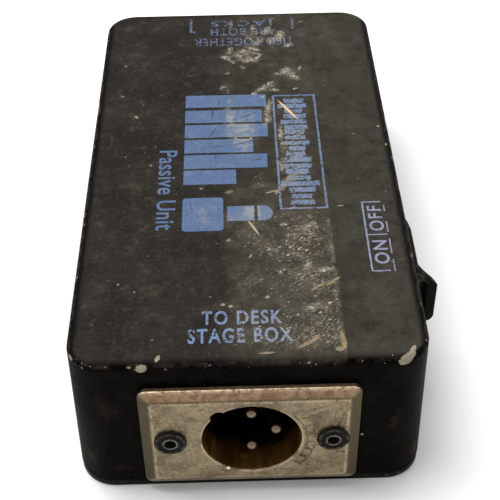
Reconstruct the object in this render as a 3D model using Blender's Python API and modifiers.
"""Passive direct injection box: cast enclosure, XLR output, ground-lift rocker, two phone jacks.

Frame: origin at the centre of the base plate's underside, +X towards the rocker switch,
-Y towards the XLR output, +Y towards the two phone jacks and +Z up. Units are metres.
"""
import math

import bmesh
import bpy
from mathutils import Vector

MM = 0.001
GAP = 0.3 * MM                      # clearance between pieces that touch

# Enclosure: a die-cast shell, open below, with one degree of draft, and its base plate.
HEIGHT = 34.5 * MM                  # base plate included
TOP_LENGTH = 125.3 * MM
TOP_WIDTH = 67.5 * MM
DRAFT = math.radians(1.0)
CORNER_RADIUS = 7.2 * MM
TOP_EDGE_RADIUS = 1.3 * MM
WALL = 2.2 * MM
ROOF = 2.4 * MM
BASE_THICKNESS = 1.8 * MM
BASE_INSET = 0.1 * MM
BOSS_X = 28.2 * MM
BOSS_Y = 57.0 * MM
BOSS_RADIUS = 4.2 * MM
PILOT_DEPTH = 11.0 * MM

# Base screws: countersunk, 3 mm.
SCREW_HEAD_RADIUS = 2.8 * MM
SCREW_HEAD_DEPTH = 1.5 * MM
SCREW_RADIUS = 1.3 * MM
SCREW_LENGTH = 9.5 * MM
SCREW_SINK = 0.2 * MM               # head below the plate's underside
RECESS_LENGTH = 2.8 * MM
RECESS_WIDTH = 0.6 * MM
RECESS_DEPTH = 0.9 * MM

# XLR output: a cast flange with a chamfered rim, its cup and three pins.
XLR_X = 0.3 * MM
XLR_Z = 16.0 * MM
XLR_FACE_Y = -65.2 * MM             # plane of the flange's front face
FLANGE_WIDTH = 41.7 * MM
FLANGE_HEIGHT = 26.8 * MM
FLANGE_X = 0.05 * MM                # centre of the flange
FLANGE_Z = 15.7 * MM
FLANGE_CORNER = 1.6 * MM
CHAMFER_WIDTH = 2.2 * MM
CHAMFER_DEPTH = 1.1 * MM
CUP_RADIUS = 9.5 * MM
CUP_WALL = 1.4 * MM
CUP_REACH = 19.0 * MM               # cup's length behind the front face
INSERT_DEPTH = 13.0 * MM            # insulator's face behind the front face
INSERT_THICKNESS = 5.6 * MM
KEY_ANGLE = math.radians(133.0)
KEY_WIDTH = 4.0 * MM
KEY_RADIUS = 10.3 * MM
PIN_CIRCLE = 4.76 * MM
PIN_RADIUS = 1.2 * MM
PIN_TIP_DEPTH = 1.7 * MM
PIN_ANGLES = {"xlr_pin_1": 90.0, "xlr_pin_2": -90.0, "xlr_pin_3": 0.0}
SOLDER_CUP_RADIUS = 1.65 * MM
SOLDER_CUP_BORE = 1.05 * MM
SOLDER_CUP_LENGTH = 5.5 * MM
BADGE_INNER = 10.4 * MM             # shallow arc pocket beside the cup
BADGE_OUTER = 12.3 * MM
BADGE_SWEEP = math.radians(40.0)
BADGE_DEPTH = 0.3 * MM
RIVET_OFFSET = 15.5 * MM            # each rivet's distance from the cup's axis
RIVET_RISE = 0.2 * MM               # rivets' height above the cup's axis
RIVET_HEAD_RADIUS = 3.15 * MM
RIVET_HEAD_HEIGHT = 0.6 * MM
RIVET_SHANK_RADIUS = 1.5 * MM
RIVET_BORE = 1.1 * MM

# Ground-lift rocker switch on the +X wall.
SWITCH_Y = -28.5 * MM
SWITCH_Z = 22.6 * MM
BEZEL_LENGTH = 21.1 * MM
BEZEL_HEIGHT = 14.9 * MM
BEZEL_FACE_X = 35.4 * MM
BEZEL_ROUND = 0.7 * MM
BODY_LENGTH = 19.2 * MM
BODY_HEIGHT = 13.1 * MM
BODY_BOTTOM_X = 20.7 * MM
BODY_FLOOR = 1.2 * MM
BODY_WALL = 0.6 * MM
SNAP_REACH = 0.7 * MM
ROCKER_PIVOT_X = 33.2 * MM
ROCKER_TILT = math.radians(13.0)    # front end out, rear end pressed
ROCKER_HALF_LENGTH = 8.1 * MM
ROCKER_HEIGHT = 11.2 * MM
ROCKER_END_RISE = 4.35 * MM
ROCKER_MIDDLE_RISE = 2.0 * MM
ROCKER_ROUND = 0.45 * MM
ROCKER_CORNER = 2.0 * MM            # rounding of both ends, seen along the box
TRUNNION_RADIUS = 0.8 * MM
TRUNNION_REACH = 0.75 * MM
PLUNGER_RADIUS = 1.2 * MM
PLUNGER_NOSE = 8.0 * MM             # nose's distance from the rocker's axis
BLADE_PIVOT_X = 24.6 * MM
BLADE_TILT = math.radians(-8.0)     # the blade leans against the rocker
BLADE_THICKNESS = 0.5 * MM
BLADE_WIDTH = 4.5 * MM
TERMINAL_WIDTH = 4.8 * MM
TERMINAL_THICKNESS = 0.8 * MM
TERMINAL_END_X = 12.0 * MM
TERMINAL_SPACING = 6.0 * MM

# Phone jacks on the +Y wall.
JACK_SPACING = 26.4 * MM
JACK_Z = 17.2 * MM
BUSHING_RADIUS = 4.7 * MM
BUSHING_BORE = 3.25 * MM
BUSHING_END_Y = 67.6 * MM
PLATE_Y = 59.7 * MM                 # middle of the jack's front plate
PLATE_THICKNESS = 1.2 * MM
WASHER_RADIUS = 7.0 * MM
WASHER_THICKNESS = 0.7 * MM
NUT_ACROSS_FLATS = 12.7 * MM
NUT_THICKNESS = 2.4 * MM
THREAD_CLEARANCE = 5.0 * MM         # bore radius of nut and washer
ARM_Z = 8.2 * MM                    # middle of the frame's arm
ARM_END_Y = 45.0 * MM
STACK_Y = 53.5 * MM
STACK_LENGTH = 7.0 * MM
STACK_WIDTH = 8.0 * MM
LUG_Z = 11.65 * MM
EYELET_RADIUS = 1.3 * MM
SPRING_ROOT_Y = 49.7 * MM
SPRING_THICKNESS = 0.5 * MM
SPRING_WIDTH = 4.5 * MM

# Line transformer behind the XLR connector.
CORE_X = -3.0 * MM
CORE_Y = 8.0 * MM
CORE_BOTTOM = 5.2 * MM
CORE_WIDTH = 30.0 * MM
CORE_STACK = 10.0 * MM
CORE_HEIGHT = 24.0 * MM
LEG_WIDTH = 9.0 * MM
WINDOW_WIDTH = 5.5 * MM
WINDOW_HEIGHT = 15.0 * MM
FLANGE_SHEET = 0.8 * MM             # bobbin's sheet
COIL_REACH = 3.4 * MM               # depth of the windings over the bobbin's tube
BRACKET_SHEET = 0.8 * MM
BRACKET_FOOT = 6.0 * MM
PAD_THICKNESS = 1.2 * MM

WIRE_RADIUS = 0.65 * MM

# Rotations that turn a piece's own +Z towards a direction of the frame.
TO_FRONT = (math.radians(90.0), 0.0, 0.0)       # -Y
TO_REAR = (math.radians(-90.0), 0.0, 0.0)       # +Y
TO_INSIDE = (0.0, math.radians(-90.0), 0.0)     # -X
SIDE_PROFILE = (math.radians(90.0), 0.0, math.radians(90.0))    # own X, Y along +Y, +Z


def wall_x(z):
    """Distance of the side wall's outer face from the middle at height z."""
    return TOP_WIDTH / 2 + (HEIGHT - z) * math.tan(DRAFT)


def wall_y(z):
    """Distance of the end wall's outer face from the middle at height z."""
    return TOP_LENGTH / 2 + (HEIGHT - z) * math.tan(DRAFT)


# --- Scene, collections and materials -------------------------------------------------------

def clear_scene():
    for obj in list(bpy.data.objects):
        bpy.data.objects.remove(obj, do_unlink=True)


def new_collection(name):
    collection = bpy.data.collections.new(name)
    bpy.context.scene.collection.children.link(collection)
    return collection


def new_material(name, colour, roughness, metallic=0.0):
    material = bpy.data.materials.new(name)
    material.use_nodes = True
    shader = material.node_tree.nodes["Principled BSDF"]
    shader.inputs["Base Color"].default_value = (*colour, 1.0)
    shader.inputs["Roughness"].default_value = roughness
    shader.inputs["Metallic"].default_value = metallic
    return material


clear_scene()
PARTS = new_collection("direct_injection_box")
CUTTERS = new_collection("cutters")

BLACK_PAINT = new_material("black_paint", (0.030, 0.028, 0.025), 0.45)
BASE_PAINT = new_material("base_paint", (0.022, 0.021, 0.020), 0.5)
BLACK_STEEL = new_material("black_steel", (0.04, 0.038, 0.036), 0.4, 0.9)
TARNISHED_NICKEL = new_material("tarnished_nickel", (0.42, 0.37, 0.30), 0.42, 0.9)
CONTACT_METAL = new_material("contact_metal", (0.62, 0.50, 0.40), 0.3, 1.0)
DARK_INSULATOR = new_material("dark_insulator", (0.05, 0.035, 0.02), 0.55)
SWITCH_PLASTIC = new_material("switch_plastic", (0.018, 0.018, 0.017), 0.4)
NICKEL = new_material("nickel", (0.60, 0.57, 0.52), 0.28, 1.0)
SPRING_BRASS = new_material("spring_brass", (0.70, 0.53, 0.26), 0.3, 1.0)
PHENOLIC = new_material("phenolic", (0.28, 0.14, 0.06), 0.6)
CORE_STEEL = new_material("core_steel", (0.20, 0.19, 0.19), 0.5, 0.8)
BOBBIN_PLASTIC = new_material("bobbin_plastic", (0.75, 0.73, 0.66), 0.5)
COIL_TAPE = new_material("coil_tape", (0.70, 0.50, 0.12), 0.45)
FOAM = new_material("foam", (0.10, 0.10, 0.10), 0.9)
WIRE_COLOURS = {
    "wire_red": new_material("wire_red", (0.45, 0.03, 0.02), 0.45),
    "wire_white": new_material("wire_white", (0.70, 0.68, 0.62), 0.45),
    "wire_black": new_material("wire_black", (0.02, 0.02, 0.02), 0.45),
    "wire_green": new_material("wire_green", (0.03, 0.22, 0.06), 0.45),
}


# --- Modelling helpers ----------------------------------------------------------------------

def add_object(name, data, material=None, location=(0, 0, 0), rotation=(0, 0, 0)):
    """A sub-part when it has a material, otherwise a cutter that stays out of the model."""
    obj = bpy.data.objects.new(name, data)
    obj.location = location
    obj.rotation_euler = rotation
    if material is None:
        CUTTERS.objects.link(obj)
        obj.hide_render = True
        obj.display_type = 'WIRE'
    else:
        PARTS.objects.link(obj)
        data.materials.append(material)
    return obj


def finish_mesh(name, bm, smooth_angle=35.0):
    mesh = bpy.data.meshes.new(name)
    bm.to_mesh(mesh)
    bm.free()
    mesh.shade_smooth()
    mesh.set_sharp_from_angle(angle=math.radians(smooth_angle))
    return mesh


def edges_along(bm, axis):
    """Edges that run along one axis, 0 to 2."""
    chosen = []
    for edge in bm.edges:
        direction = (edge.verts[0].co - edge.verts[1].co).normalized()
        if abs(direction[axis]) > 0.99:
            chosen.append(edge)
    return chosen


def round_edges(bm, edges, radius, segments):
    bmesh.ops.bevel(bm, geom=edges, offset=radius, segments=segments, profile=0.5, affect='EDGES')


def box_bmesh(size):
    bm = bmesh.new()
    bmesh.ops.create_cube(bm, size=1.0)
    bmesh.ops.scale(bm, vec=size, verts=bm.verts)
    return bm


def box(name, size, centre, material=None, rounding=0.0, round_axis=2, rotation=(0, 0, 0)):
    """A block, with the edges along one axis rounded when a rounding is given."""
    bm = box_bmesh(size)
    if rounding:
        round_edges(bm, edges_along(bm, round_axis), rounding, 3)
    return add_object(name, finish_mesh(name, bm), material, centre, rotation)


def cylinder(name, radius, length, centre, rotation=(0, 0, 0), material=None, sides=24):
    bm = bmesh.new()
    bmesh.ops.create_cone(bm, cap_ends=True, segments=sides, radius1=radius, radius2=radius,
                          depth=length)
    return add_object(name, finish_mesh(name, bm), material, centre, rotation)


def turned(name, profile, material=None, location=(0, 0, 0), rotation=(0, 0, 0), steps=24,
           closed=False):
    """A turned piece: (radius, height) points down the outer side, about the piece's own Z."""
    mesh = bpy.data.meshes.new(name)
    count = len(profile)
    edges = [(i, i + 1) for i in range(count - 1)]
    if closed:
        edges.append((count - 1, 0))
    mesh.from_pydata([(radius, 0.0, height) for radius, height in profile], edges, [])
    obj = add_object(name, mesh, material, location, rotation)
    screw = obj.modifiers.new("turn", 'SCREW')
    screw.axis = 'Z'
    screw.angle = 2 * math.pi
    screw.steps = steps
    screw.render_steps = steps
    screw.use_merge_vertices = True
    screw.merge_threshold = 0.00001
    screw.use_smooth_shade = True
    return obj


def ring(name, outer, inner, length, material=None, location=(0, 0, 0), rotation=(0, 0, 0),
         steps=24):
    """A plain ring, centred on its location."""
    half = length / 2
    profile = [(outer, half), (outer, -half), (inner, -half), (inner, half)]
    return turned(name, profile, material, location, rotation, steps, closed=True)


def prism(name, outline, thickness, material=None, location=(0, 0, 0), rotation=(0, 0, 0),
          rounding=0.0):
    """A flat outline in the piece's own XY plane, given a thickness along its own Z."""
    curve = bpy.data.curves.new(name, 'CURVE')
    curve.dimensions = '2D'
    curve.fill_mode = 'BOTH'
    curve.extrude = thickness / 2
    spline = curve.splines.new('POLY')
    spline.points.add(len(outline) - 1)
    for point, (x, y) in zip(spline.points, outline):
        point.co = (x, y, 0.0, 1.0)
    spline.use_cyclic_u = True
    guide = bpy.data.objects.new(name + "_outline", curve)
    CUTTERS.objects.link(guide)
    bpy.context.view_layer.update()
    evaluated = guide.evaluated_get(bpy.context.evaluated_depsgraph_get())
    mesh = bpy.data.meshes.new_from_object(evaluated)
    bpy.data.objects.remove(guide, do_unlink=True)
    bm = bmesh.new()
    bm.from_mesh(mesh)
    bpy.data.meshes.remove(mesh)
    bmesh.ops.remove_doubles(bm, verts=bm.verts, dist=0.00001)
    bmesh.ops.recalc_face_normals(bm, faces=bm.faces)
    if rounding:
        rims = [edge for edge in bm.edges if edge.calc_face_angle(0.0) > math.radians(40.0)]
        round_edges(bm, rims, rounding, 2)
    return add_object(name, finish_mesh(name, bm), material, location, rotation)


def strip_outline(path, thickness):
    """Outline of a bent strip of even thickness that follows a path, with mitred bends."""
    points = [Vector(point) for point in path]
    left, right = [], []
    for i, point in enumerate(points):
        before = (point - points[i - 1]).normalized() if i else None
        after = (points[i + 1] - point).normalized() if i < len(points) - 1 else None
        along = ((before or after) + (after or before)).normalized()
        normal = Vector((-along.y, along.x))
        run = before or after
        mitre = thickness / 2 / normal.dot(Vector((-run.y, run.x)))
        left.append(point + normal * mitre)
        right.append(point - normal * mitre)
    return [tuple(point) for point in left + right[::-1]]


def smooth_route(points, spacing):
    """Points a fixed spacing apart or less on the smooth curve through a route's own points."""
    route = [Vector(point) for point in points]
    padded = [route[0] * 2 - route[1]] + route + [route[-1] * 2 - route[-2]]
    result = []
    for a, b, c, d in zip(padded, padded[1:], padded[2:], padded[3:]):
        steps = max(1, round((c - b).length / spacing))
        for i in range(steps):
            t = i / steps
            result.append(0.5 * (2 * b + (c - a) * t + (2 * a - 5 * b + 4 * c - d) * t ** 2
                                 + (3 * b - a - 3 * c + d) * t ** 3))
    result.append(route[-1])
    return result


def wire(name, material, points):
    """An insulated hook-up wire through points given in millimetres."""
    curve = bpy.data.curves.new(name, 'CURVE')
    curve.dimensions = '3D'
    curve.bevel_depth = WIRE_RADIUS
    curve.bevel_resolution = 2
    curve.use_fill_caps = True
    route = smooth_route([Vector(point) * MM for point in points], 3.5 * MM)
    spline = curve.splines.new('POLY')
    spline.points.add(len(route) - 1)
    for point, place in zip(spline.points, route):
        point.co = (*place, 1.0)
    return add_object(name, curve, material)


def boolean(obj, operation, other):
    modifier = obj.modifiers.new(other.name, 'BOOLEAN')
    modifier.operation = operation
    modifier.solver = 'EXACT'
    modifier.object = other


def cut(obj, *cutters):
    for cutter in cutters:
        boolean(obj, 'DIFFERENCE', cutter)


def join(obj, *pieces):
    for piece in pieces:
        boolean(obj, 'UNION', piece)


# --- Enclosure ------------------------------------------------------------------------------

def drafted_block(name, half_width, half_length, bottom, top, radius, material=None,
                  top_round=0.0):
    """A block with rounded uprights that widens downwards by the casting's draft."""
    bm = box_bmesh((2 * half_width, 2 * half_length, top - bottom))
    bmesh.ops.translate(bm, vec=(0, 0, (top + bottom) / 2), verts=bm.verts)
    round_edges(bm, edges_along(bm, 2), radius, 8)
    spread = (top - bottom) * math.tan(DRAFT)
    for vert in bm.verts:
        if vert.co.z < (top + bottom) / 2:
            vert.co.x += math.copysign(spread, vert.co.x)
            vert.co.y += math.copysign(spread, vert.co.y)
    if top_round:
        rim = [edge for edge in bm.edges if min(v.co.z for v in edge.verts) > top - 0.01 * MM]
        round_edges(bm, rim, top_round, 3)
    return add_object(name, finish_mesh(name, bm), material)


def boss_places():
    return [(x, y) for y in (-BOSS_Y, BOSS_Y) for x in (-BOSS_X, BOSS_X)]


def make_shell():
    bottom = BASE_THICKNESS + GAP
    ceiling = HEIGHT - ROOF
    shell = drafted_block("enclosure_shell", wall_x(HEIGHT), wall_y(HEIGHT), bottom, HEIGHT,
                          CORNER_RADIUS, BLACK_PAINT, TOP_EDGE_RADIUS)
    cut(shell, drafted_block("cavity_cutter", wall_x(ceiling) - WALL, wall_y(ceiling) - WALL,
                             bottom - 2 * MM, ceiling, CORNER_RADIUS - WALL))
    for i, (x, y) in enumerate(boss_places()):
        length = ceiling + ROOF / 2 - bottom
        join(shell, cylinder(f"boss_{i}", BOSS_RADIUS, length, (x, y, bottom + length / 2)))
    for i, (x, y) in enumerate(boss_places()):
        cut(shell, cylinder(f"pilot_cutter_{i}", SCREW_RADIUS + GAP, 2 * PILOT_DEPTH,
                            (x, y, bottom), sides=16))
    cut(shell, cylinder("xlr_hole_cutter", CUP_RADIUS + CUP_WALL + GAP, 12 * MM,
                        (XLR_X, -wall_y(XLR_Z), XLR_Z), TO_FRONT, sides=40))
    for side in (-1, 1):
        cut(shell, cylinder(f"rivet_hole_cutter_{side}", RIVET_SHANK_RADIUS + GAP, 12 * MM,
                            (XLR_X + side * RIVET_OFFSET, -wall_y(XLR_Z), XLR_Z + RIVET_RISE),
                            TO_FRONT, sides=16))
        cut(shell, cylinder(f"jack_hole_cutter_{side}", BUSHING_RADIUS + GAP, 12 * MM,
                            (side * JACK_SPACING / 2, wall_y(JACK_Z), JACK_Z), TO_REAR, sides=32))
    cut(shell, box("switch_hole_cutter",
                   (12 * MM, BODY_LENGTH + 2 * GAP, BODY_HEIGHT + 2 * GAP),
                   (wall_x(SWITCH_Z), SWITCH_Y, SWITCH_Z)))


def make_base():
    half_x = wall_x(BASE_THICKNESS) - BASE_INSET
    half_y = wall_y(BASE_THICKNESS) - BASE_INSET
    plate = drafted_block("base_plate", half_x, half_y, 0.0, BASE_THICKNESS, CORNER_RADIUS,
                          BASE_PAINT)
    neck = SCREW_RADIUS + GAP
    mouth = SCREW_HEAD_RADIUS + GAP
    for i, (x, y) in enumerate(boss_places()):
        profile = [(0, 3 * MM), (neck, 3 * MM), (neck, SCREW_SINK + SCREW_HEAD_DEPTH),
                   (mouth, SCREW_SINK), (mouth, -1 * MM), (0, -1 * MM)]
        cut(plate, turned(f"countersink_cutter_{i}", profile, location=(x, y, 0), steps=20))
        make_base_screw(f"base_screw_{i + 1}", x, y)


def make_base_screw(name, x, y):
    """Countersunk screw whose head faces down, with a cross recess."""
    head_end = SCREW_SINK + SCREW_HEAD_DEPTH
    tip = SCREW_SINK + SCREW_LENGTH
    profile = [(0, tip), (0.5 * SCREW_RADIUS, tip), (SCREW_RADIUS, tip - 1 * MM),
               (SCREW_RADIUS, head_end), (SCREW_HEAD_RADIUS, SCREW_SINK), (0, SCREW_SINK)]
    screw = turned(name, profile, BLACK_STEEL, (x, y, 0), steps=20)
    for size in ((RECESS_LENGTH, RECESS_WIDTH), (RECESS_WIDTH, RECESS_LENGTH)):
        cut(screw, box(name + "_recess", (*size, 2 * RECESS_DEPTH), (x, y, SCREW_SINK)))


# --- XLR output -----------------------------------------------------------------------------

def xlr_point(x, z, depth):
    """A point at offsets x and z from the cup's axis, at a depth behind the front face."""
    return (XLR_X + x, XLR_FACE_Y + depth, XLR_Z + z)


def make_flange():
    """Chamfered plate whose back follows the wall's draft, in frame coordinates."""
    back = wall_y(FLANGE_Z) + GAP
    rim = XLR_FACE_Y + CHAMFER_DEPTH
    bm = box_bmesh((FLANGE_WIDTH, back + rim, FLANGE_HEIGHT))
    bmesh.ops.translate(bm, vec=(FLANGE_X, (rim - back) / 2, FLANGE_Z), verts=bm.verts)
    round_edges(bm, edges_along(bm, 1), FLANGE_CORNER, 3)
    front = min(bm.faces, key=lambda face: face.calc_center_median().y)
    raised = bmesh.ops.extrude_face_region(bm, geom=[front])
    verts = [item for item in raised["geom"] if isinstance(item, bmesh.types.BMVert)]
    bmesh.ops.delete(bm, geom=[front], context='FACES_ONLY')
    shrink_x = 1 - 2 * CHAMFER_WIDTH / FLANGE_WIDTH
    shrink_z = 1 - 2 * CHAMFER_WIDTH / FLANGE_HEIGHT
    for vert in verts:
        vert.co.x = FLANGE_X + (vert.co.x - FLANGE_X) * shrink_x
        vert.co.y = XLR_FACE_Y
        vert.co.z = FLANGE_Z + (vert.co.z - FLANGE_Z) * shrink_z
    for vert in bm.verts:
        if vert.co.y > -back - 0.01 * MM and vert not in verts:
            vert.co.y = -wall_y(vert.co.z) - GAP
    bmesh.ops.recalc_face_normals(bm, faces=bm.faces)
    return add_object("xlr_housing", finish_mesh("xlr_housing", bm), TARNISHED_NICKEL)


def arc_outline(inner, outer, sweep, steps):
    """Outline of a band between two radii, from -sweep to +sweep."""
    angles = [sweep * (2 * i / steps - 1) for i in range(steps + 1)]
    far = [(outer * math.cos(a), outer * math.sin(a)) for a in angles]
    near = [(inner * math.cos(a), inner * math.sin(a)) for a in reversed(angles)]
    return far + near


def make_xlr_housing():
    housing = make_flange()
    tube_start = 0.8 * MM
    join(housing, cylinder("cup_tube", CUP_RADIUS + CUP_WALL, CUP_REACH - tube_start,
                           xlr_point(0, 0, (CUP_REACH + tube_start) / 2), TO_FRONT, sides=40))
    cut(housing, cylinder("cup_bore_cutter", CUP_RADIUS, 3 * CUP_REACH, xlr_point(0, 0, 0),
                          TO_FRONT, sides=40))
    key_length = INSERT_DEPTH * 2
    key_height = KEY_RADIUS - 0.5 * CUP_RADIUS
    middle = (KEY_RADIUS + 0.5 * CUP_RADIUS) / 2
    cut(housing, box("key_cutter", (key_height, KEY_WIDTH, key_length),
                     xlr_point(middle * math.cos(KEY_ANGLE), middle * math.sin(KEY_ANGLE), 0),
                     rotation=(TO_FRONT[0], -KEY_ANGLE, 0)))
    cut(housing, prism("badge_cutter", arc_outline(BADGE_INNER, BADGE_OUTER, BADGE_SWEEP, 10),
                       2 * BADGE_DEPTH, location=xlr_point(0, 0, 0), rotation=TO_FRONT))
    for side in (-1, 1):
        cut(housing, cylinder(f"flange_hole_cutter_{side}", RIVET_SHANK_RADIUS + GAP, 9 * MM,
                              xlr_point(side * RIVET_OFFSET, RIVET_RISE, 0), TO_FRONT, sides=16))


def make_xlr_insert():
    middle = INSERT_DEPTH + INSERT_THICKNESS / 2
    insert = cylinder("xlr_insert", CUP_RADIUS - GAP, INSERT_THICKNESS,
                      xlr_point(0, 0, middle), TO_FRONT, DARK_INSULATOR, sides=40)
    for name, degrees in PIN_ANGLES.items():
        angle = math.radians(degrees)
        x = PIN_CIRCLE * math.cos(angle)
        z = PIN_CIRCLE * math.sin(angle)
        cut(insert, cylinder(name + "_cutter", PIN_RADIUS + GAP, 2 * INSERT_THICKNESS,
                             xlr_point(x, z, middle), TO_FRONT, sides=16))
        make_xlr_pin(name, x, z)


def make_xlr_pin(name, x, z):
    """Round-nosed pin that ends in an open solder cup; heights run from the front face back."""
    tip = -PIN_TIP_DEPTH
    shoulder = -(INSERT_DEPTH + INSERT_THICKNESS + GAP)
    end = shoulder - SOLDER_CUP_LENGTH
    nose = [(PIN_RADIUS * math.sin(a), tip - PIN_RADIUS * (1 - math.cos(a)))
            for a in (math.radians(d) for d in (0, 25, 50, 70, 90))]
    profile = nose + [(PIN_RADIUS, shoulder), (SOLDER_CUP_RADIUS, shoulder),
                      (SOLDER_CUP_RADIUS, end), (SOLDER_CUP_BORE, end),
                      (SOLDER_CUP_BORE, end + 3.5 * MM), (0, end + 4 * MM)]
    turned(name, profile, CONTACT_METAL, xlr_point(x, z, 0), TO_FRONT, steps=16)


def make_rivets():
    """Hollow blind rivets: low dished head outside, formed tail inside the wall."""
    seat = GAP
    top = seat + RIVET_HEAD_HEIGHT
    tail = XLR_FACE_Y + wall_y(XLR_Z) - WALL - GAP
    for name, side in (("xlr_rivet_left", -1), ("xlr_rivet_right", 1)):
        profile = [(RIVET_BORE, top), (0.48 * RIVET_HEAD_RADIUS, top),
                   (0.58 * RIVET_HEAD_RADIUS, top - 0.25 * MM), (0.8 * RIVET_HEAD_RADIUS, top - 0.1 * MM),
                   (RIVET_HEAD_RADIUS, top - 0.35 * MM), (RIVET_HEAD_RADIUS, seat),
                   (RIVET_SHANK_RADIUS, seat),
                   (RIVET_SHANK_RADIUS, tail), (2.2 * MM, tail - 0.4 * MM),
                   (2.2 * MM, tail - 1.6 * MM), (1.4 * MM, tail - 2.4 * MM),
                   (0, tail - 2.4 * MM), (0, seat - 0.9 * MM), (RIVET_BORE, seat - 0.9 * MM)]
        turned(name, profile + [profile[0]], BLACK_STEEL,
               xlr_point(side * RIVET_OFFSET, RIVET_RISE, 0), TO_FRONT, steps=28)


# --- Ground-lift switch ---------------------------------------------------------------------

def make_switch_body():
    """Bezel and box-shaped body in one moulding, open towards the rocker."""
    back = wall_x(SWITCH_Z) + GAP
    bm = box_bmesh((BEZEL_FACE_X - back, BEZEL_LENGTH, BEZEL_HEIGHT))
    bmesh.ops.translate(bm, vec=((BEZEL_FACE_X + back) / 2, SWITCH_Y, SWITCH_Z), verts=bm.verts)
    round_edges(bm, edges_along(bm, 0), 1.2 * MM, 3)
    rim = [edge for edge in bm.edges if min(v.co.x for v in edge.verts) > BEZEL_FACE_X - 0.01 * MM]
    round_edges(bm, rim, BEZEL_ROUND, 2)
    for vert in bm.verts:
        if vert.co.x < back + 0.01 * MM:
            vert.co.x = wall_x(vert.co.z) + GAP
    body = add_object("switch_body", finish_mesh("switch_body", bm), SWITCH_PLASTIC)
    top = back + 0.3 * MM
    join(body, box("switch_box", (top - BODY_BOTTOM_X, BODY_LENGTH, BODY_HEIGHT),
                   ((top + BODY_BOTTOM_X) / 2, SWITCH_Y, SWITCH_Z)))
    wall_inside = wall_x(SWITCH_Z) - WALL - GAP
    for side in (-1, 1):
        wedge = [(wall_inside, BODY_LENGTH / 2 - 0.2 * MM),
                 (wall_inside, BODY_LENGTH / 2 + GAP + SNAP_REACH),
                 (wall_inside - 4 * MM, BODY_LENGTH / 2 - 0.2 * MM)]
        outline = [(x, side * y) for x, y in wedge][::side]
        join(body, prism(f"snap_{side}", outline, 5 * MM, location=(0, SWITCH_Y, SWITCH_Z)))
    floor = BODY_BOTTOM_X + BODY_FLOOR
    hollow = (20 * MM, BODY_LENGTH - 2 * BODY_WALL, BODY_HEIGHT - 2 * BODY_WALL)
    cut(body, box("switch_hollow_cutter", hollow, (floor + 10 * MM, SWITCH_Y, SWITCH_Z)))
    cut(body, cylinder("trunnion_cutter", TRUNNION_RADIUS + GAP, BODY_HEIGHT + 0.1 * MM,
                       (ROCKER_PIVOT_X, SWITCH_Y, SWITCH_Z), sides=16))
    slot = (4 * BODY_FLOOR, TERMINAL_THICKNESS + 2 * GAP, TERMINAL_WIDTH + 2 * GAP)
    for i in range(2):
        cut(body, box(f"terminal_slot_cutter_{i}", slot,
                      (BODY_BOTTOM_X, SWITCH_Y + i * TERMINAL_SPACING, SWITCH_Z)))


def rocker_outline():
    """Scooped face, undercut ends and tapered skirt, about the rocker's axis."""
    sag = ROCKER_END_RISE - ROCKER_MIDDLE_RISE
    radius = (ROCKER_HALF_LENGTH ** 2 + sag ** 2) / (2 * sag)
    steps = 12
    face = []
    for i in range(steps + 1):
        y = ROCKER_HALF_LENGTH * (2 * i / steps - 1)
        face.append((ROCKER_MIDDLE_RISE + radius - math.sqrt(radius ** 2 - y ** 2), y))
    side = [(1.6, 8.35), (1.6, 7.6), (-2.2, 6.6), (-3.0, 2.2)]
    rear = [(x * MM, y * MM) for x, y in side]
    front = [(x, -y) for x, y in reversed(rear)]
    return face + rear + front


def make_rocker():
    """Rocker and its spring plunger, hung from an empty on the hinge axis."""
    pivot = bpy.data.objects.new("rocker_axis", None)
    pivot.location = (ROCKER_PIVOT_X, SWITCH_Y, SWITCH_Z)
    pivot.rotation_euler = (0, 0, ROCKER_TILT)
    PARTS.objects.link(pivot)
    rocker = prism("switch_rocker", rocker_outline(), ROCKER_HEIGHT, SWITCH_PLASTIC,
                   rounding=ROCKER_ROUND)
    depth = 16 * MM
    envelope = box("rocker_envelope", (depth, 20 * MM, ROCKER_HEIGHT - 0.02 * MM),
                   (ROCKER_END_RISE - depth / 2, 0, 0), rounding=ROCKER_CORNER, round_axis=1)
    boolean(rocker, 'INTERSECT', envelope)
    trunnions = cylinder("trunnions", TRUNNION_RADIUS, ROCKER_HEIGHT + 2 * TRUNNION_REACH,
                         (0, 0, 0), sides=16)
    boss = cylinder("plunger_boss", 2.1 * MM, 5 * MM, (-4.5 * MM, 0, 0), TO_INSIDE, sides=20)
    bore = cylinder("plunger_bore_cutter", PLUNGER_RADIUS + GAP, 8 * MM, (-6 * MM, 0, 0),
                    TO_INSIDE, sides=16)
    join(rocker, trunnions, boss)
    cut(rocker, bore)
    nose = PLUNGER_NOSE
    profile = [(0, nose), (0.6 * PLUNGER_RADIUS, nose - 0.2 * MM),
               (PLUNGER_RADIUS, nose - 0.9 * MM), (PLUNGER_RADIUS, 2.4 * MM), (0, 2.4 * MM)]
    plunger = turned("switch_plunger", profile, CONTACT_METAL, rotation=TO_INSIDE, steps=16)
    for piece in (rocker, envelope, trunnions, boss, bore, plunger):
        piece.parent = pivot


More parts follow.
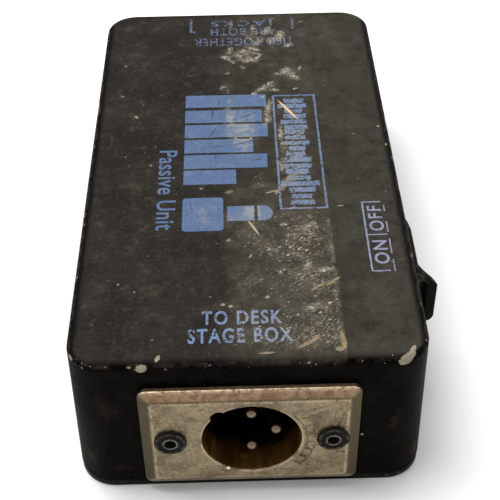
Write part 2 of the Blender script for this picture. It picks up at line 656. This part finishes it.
def make_switch_contacts():
    """See-saw blade under the plunger, its centre terminal and its rear terminal."""
    half = [(0.0, 0.0), (0.25, 3.5), (-0.3, 6.0)]
    path = [(x * MM, -y * MM) for x, y in reversed(half[1:])] + [(x * MM, y * MM) for x, y in half]
    prism("switch_blade", strip_outline(path, BLADE_THICKNESS), BLADE_WIDTH, SPRING_BRASS,
          (BLADE_PIVOT_X, SWITCH_Y, SWITCH_Z), (0, 0, BLADE_TILT))
    tops = (BLADE_PIVOT_X - BLADE_THICKNESS / 2 - GAP, 22.9 * MM)
    for i, top in enumerate(tops):
        middle = ((top + TERMINAL_END_X) / 2, SWITCH_Y + i * TERMINAL_SPACING, SWITCH_Z)
        terminal = box(f"switch_terminal_{i + 1}",
                       (top - TERMINAL_END_X, TERMINAL_THICKNESS, TERMINAL_WIDTH), middle,
                       SPRING_BRASS)
        cut(terminal, cylinder(f"terminal_eye_cutter_{i}", 0.9 * MM, 3 * MM,
                               (TERMINAL_END_X + 2 * MM, middle[1], SWITCH_Z), TO_FRONT,
                               sides=12))


# --- Phone jacks ----------------------------------------------------------------------------

def make_jack(tag, x):
    """Open-frame jack: bushing, front plate and arm in one piece, with its contact stack."""
    length = BUSHING_END_Y - PLATE_Y
    chamfer = 0.4 * MM
    profile = [(0, length), (BUSHING_RADIUS - chamfer, length),
               (BUSHING_RADIUS, length - chamfer), (BUSHING_RADIUS, 0), (0, 0)]
    frame = turned(f"jack_{tag}_frame", profile, NICKEL, (x, PLATE_Y, JACK_Z), TO_REAR, steps=32)
    plate_bottom = ARM_Z - PLATE_THICKNESS / 2
    plate_height = JACK_Z + 7 * MM - plate_bottom
    plate = box(f"jack_{tag}_plate", (14 * MM, PLATE_THICKNESS, plate_height),
                (x, PLATE_Y, plate_bottom + plate_height / 2), rounding=2 * MM, round_axis=1)
    arm_length = PLATE_Y - ARM_END_Y
    arm = box(f"jack_{tag}_arm", (STACK_WIDTH, arm_length, PLATE_THICKNESS),
              (x, ARM_END_Y + arm_length / 2, ARM_Z))
    join(frame, plate, arm)
    mouth = [(0, length + 1 * MM), (BUSHING_BORE + chamfer, length + 1 * MM),
             (BUSHING_BORE + chamfer, length), (BUSHING_BORE, length - chamfer),
             (BUSHING_BORE, -2 * MM), (0, -2 * MM)]
    cut(frame, turned(f"jack_{tag}_bore_cutter", mouth, location=(x, PLATE_Y, JACK_Z),
                      rotation=TO_REAR, steps=32))
    eye = cylinder(f"jack_{tag}_eye_cutter", EYELET_RADIUS + GAP, 12 * MM,
                   (x, STACK_Y, LUG_Z - 1.5 * MM), sides=16)
    cut(frame, eye)
    make_jack_hardware(tag, x)
    make_jack_stack(tag, x, eye)


def make_jack_hardware(tag, x):
    washer_y = 63.4 * MM + WASHER_THICKNESS / 2
    ring(f"jack_{tag}_washer", WASHER_RADIUS, THREAD_CLEARANCE, WASHER_THICKNESS, NICKEL,
         (x, washer_y, JACK_Z), TO_REAR, steps=32)
    nut_y = washer_y + WASHER_THICKNESS / 2 + GAP + NUT_THICKNESS / 2
    nut = cylinder(f"jack_{tag}_nut", NUT_ACROSS_FLATS / math.sqrt(3), NUT_THICKNESS,
                   (x, nut_y, JACK_Z), TO_REAR, NICKEL, sides=6)
    cone = 0.5 * MM
    corner = NUT_ACROSS_FLATS / math.sqrt(3)
    half = NUT_THICKNESS / 2
    facing = [(corner + cone, half + cone), (corner + cone, half - cone),
              (NUT_ACROSS_FLATS / 2, half + cone)]
    cut(nut, turned(f"jack_{tag}_facing_cutter", facing, location=(x, nut_y, JACK_Z),
                    rotation=TO_REAR, steps=32, closed=True))
    cut(nut, cylinder(f"jack_{tag}_thread_cutter", THREAD_CLEARANCE, 2 * NUT_THICKNESS,
                      (x, nut_y, JACK_Z), TO_REAR, sides=32))


def make_jack_stack(tag, x, eye):
    """Insulating wafers, solder lugs and eyelet on the arm, and the tip spring beyond them."""
    def layer(name, low, high, material, width=STACK_WIDTH):
        piece = box(f"jack_{tag}_{name}", (width, STACK_LENGTH, high - low),
                    (x, STACK_Y, (low + high) / 2), material)
        cut(piece, eye)
        return piece

    outward = math.copysign(1.0, x)
    layer("lower_wafer", 9.1 * MM, 11.1 * MM, PHENOLIC)
    layer("upper_wafer", 12.2 * MM, 13.1 * MM, PHENOLIC)
    for name, middle, side in (("tip_lug", LUG_Z, 1), ("sleeve_lug", 6.9 * MM, -1)):
        lug = layer(name, middle - 0.25 * MM, middle + 0.25 * MM, SPRING_BRASS, 5 * MM)
        tail_x = x + side * outward * 4.6 * MM
        tail = box(f"jack_{tag}_{name}_tail", (5.2 * MM, 2.6 * MM, 0.5 * MM),
                   (tail_x, STACK_Y + 1.5 * MM, middle))
        join(lug, tail)
        cut(lug, cylinder(f"jack_{tag}_{name}_eye", 0.6 * MM, 2 * MM,
                          (x + side * outward * 6.2 * MM, STACK_Y + 1.5 * MM, middle), sides=10))
    head = EYELET_RADIUS + 0.8 * MM
    top = 13.1 * MM + GAP
    bottom = 6.65 * MM - GAP
    bore = 0.6 * EYELET_RADIUS
    profile = [(head, top + 0.3 * MM), (head, top), (EYELET_RADIUS, top), (EYELET_RADIUS, bottom),
               (head, bottom), (head, bottom - 0.3 * MM), (bore, bottom - 0.3 * MM),
               (bore, top + 0.3 * MM)]
    turned(f"jack_{tag}_eyelet", profile, SPRING_BRASS, (x, STACK_Y, 0), steps=16, closed=True)
    spring = [(0, 0), (-6.7, 0.45), (-9.6, 3.65), (-11.7, 1.15), (-12.5, 1.35)]
    path = [(y * MM, z * MM) for y, z in spring]
    prism(f"jack_{tag}_tip_spring", strip_outline(path, SPRING_THICKNESS), SPRING_WIDTH,
          SPRING_BRASS, (x, SPRING_ROOT_Y, LUG_Z), SIDE_PROFILE)


# --- Transformer ----------------------------------------------------------------------------

def make_transformer():
    middle_z = CORE_BOTTOM + CORE_HEIGHT / 2
    centre = (CORE_X, CORE_Y, middle_z)
    core = box("transformer_core", (CORE_WIDTH, CORE_STACK, CORE_HEIGHT), centre, CORE_STEEL)
    for side in (-1, 1):
        offset = side * (LEG_WIDTH + WINDOW_WIDTH) / 2
        cut(core, box(f"window_cutter_{side}", (WINDOW_WIDTH, 2 * CORE_STACK, WINDOW_HEIGHT),
                      (CORE_X + offset, CORE_Y, middle_z)))
    tube_x = LEG_WIDTH + 2 * GAP + 2 * FLANGE_SHEET
    tube_y = CORE_STACK + 2 * GAP + 2 * FLANGE_SHEET
    height = WINDOW_HEIGHT - 2 * GAP
    coil_x = tube_x + 2 * COIL_REACH
    coil_y = tube_y + 2 * COIL_REACH
    bobbin = box("transformer_bobbin", (tube_x, tube_y, height), centre, BOBBIN_PLASTIC)
    for side in (-1, 1):
        join(bobbin, box(f"bobbin_flange_{side}", (coil_x, coil_y, FLANGE_SHEET),
                         (CORE_X, CORE_Y, middle_z + side * (height - FLANGE_SHEET) / 2)))
    cut(bobbin, box("bobbin_cutter", (LEG_WIDTH + 2 * GAP, CORE_STACK + 2 * GAP, 2 * height),
                    centre))
    coil_height = height - 2 * FLANGE_SHEET - 2 * GAP
    coil = box("transformer_windings", (coil_x - 1 * MM, coil_y - 1 * MM, coil_height), centre,
               COIL_TAPE, rounding=1.8 * MM)
    cut(coil, box("windings_cutter", (tube_x + 2 * GAP, tube_y + 2 * GAP, 2 * coil_height),
                  centre))


def make_transformer_mount():
    """Strap over the core with two feet, on a foam pad that sticks it to the base plate."""
    inside = CORE_WIDTH / 2 + GAP + BRACKET_SHEET / 2
    top = CORE_BOTTOM + CORE_HEIGHT + GAP + BRACKET_SHEET / 2
    foot = BASE_THICKNESS + PAD_THICKNESS + 2 * GAP + BRACKET_SHEET / 2
    path = [(-inside - BRACKET_FOOT, foot), (-inside, foot), (-inside, top), (inside, top),
            (inside, foot), (inside + BRACKET_FOOT, foot)]
    prism("transformer_strap", strip_outline(path, BRACKET_SHEET), CORE_STACK - 1 * MM,
          CORE_STEEL, (CORE_X, CORE_Y, 0), TO_FRONT)
    box("transformer_pad", (CORE_WIDTH + 8 * MM, CORE_STACK + 6 * MM, PAD_THICKNESS),
        (CORE_X, CORE_Y, BASE_THICKNESS + GAP + PAD_THICKNESS / 2), FOAM)


# --- Wiring ---------------------------------------------------------------------------------

def make_wires():
    """Hook-up wires between the connectors, the switch and the transformer."""
    white = WIRE_COLOURS["wire_white"]
    red = WIRE_COLOURS["wire_red"]
    black = WIRE_COLOURS["wire_black"]
    green = WIRE_COLOURS["wire_green"]
    wire("wire_pin_2", red, [(0.3, -42.0, 11.24), (0.3, -36.0, 11.1), (-3.0, -24.0, 9.0),
                             (-7.0, -12.0, 9.5), (-6.5, -5.0, 11.2), (-6.0, -2.3, 12.5)])
    wire("wire_pin_3", white, [(5.06, -42.0, 16.0), (5.0, -36.0, 16.1), (3.0, -24.0, 15.0),
                               (1.0, -12.0, 14.0), (0.6, -5.0, 13.0), (0.5, -2.3, 12.5)])
    wire("wire_pin_1", black, [(0.3, -42.0, 20.76), (0.5, -36.0, 21.3), (4.0, -31.0, 22.8),
                               (8.0, -29.0, 22.6), (11.4, -28.5, 22.6)])
    wire("wire_ground", green, [(11.4, -22.5, 22.6), (8.5, -22.0, 22.4), (9.5, -14.0, 19.0),
                                (18.0, -6.0, 13.0), (19.5, 10.0, 8.5), (14.5, 28.0, 6.0),
                                (9.6, 42.0, 5.2), (9.0, 49.5, 5.2), (9.0, 53.4, 5.6)])
    wire("wire_sleeve_link", black, [(7.0, 55.6, 5.6), (3.0, 56.6, 5.0), (-3.0, 56.6, 5.0),
                                     (-7.0, 55.6, 5.6)])
    wire("wire_tip_link", red, [(19.4, 55.2, 12.9), (20.6, 55.6, 17.0), (17.0, 56.2, 26.0),
                                (8.0, 56.2, 28.6), (-8.0, 56.2, 28.6), (-17.0, 56.2, 26.0),
                                (-20.6, 55.6, 17.0), (-19.4, 55.2, 12.9)])
    wire("wire_primary_tip", white, [(-19.6, 54.4, 10.3), (-21.4, 48.0, 9.6),
                                     (-21.5, 36.0, 12.0), (-15.0, 26.0, 16.0),
                                     (-8.0, 20.5, 17.4), (-6.0, 18.3, 17.6)])
    wire("wire_primary_sleeve", black, [(-8.8, 53.4, 5.6), (-8.4, 46.0, 5.2), (-6.0, 36.0, 9.0),
                                        (-1.0, 26.0, 15.0), (-0.2, 20.5, 17.4),
                                        (-0.2, 18.3, 17.6)])


make_shell()
make_base()
make_xlr_housing()
make_xlr_insert()
make_rivets()
make_switch_body()
make_rocker()
make_switch_contacts()
make_jack("left", -JACK_SPACING / 2)
make_jack("right", JACK_SPACING / 2)
make_transformer()
make_transformer_mount()
make_wires()
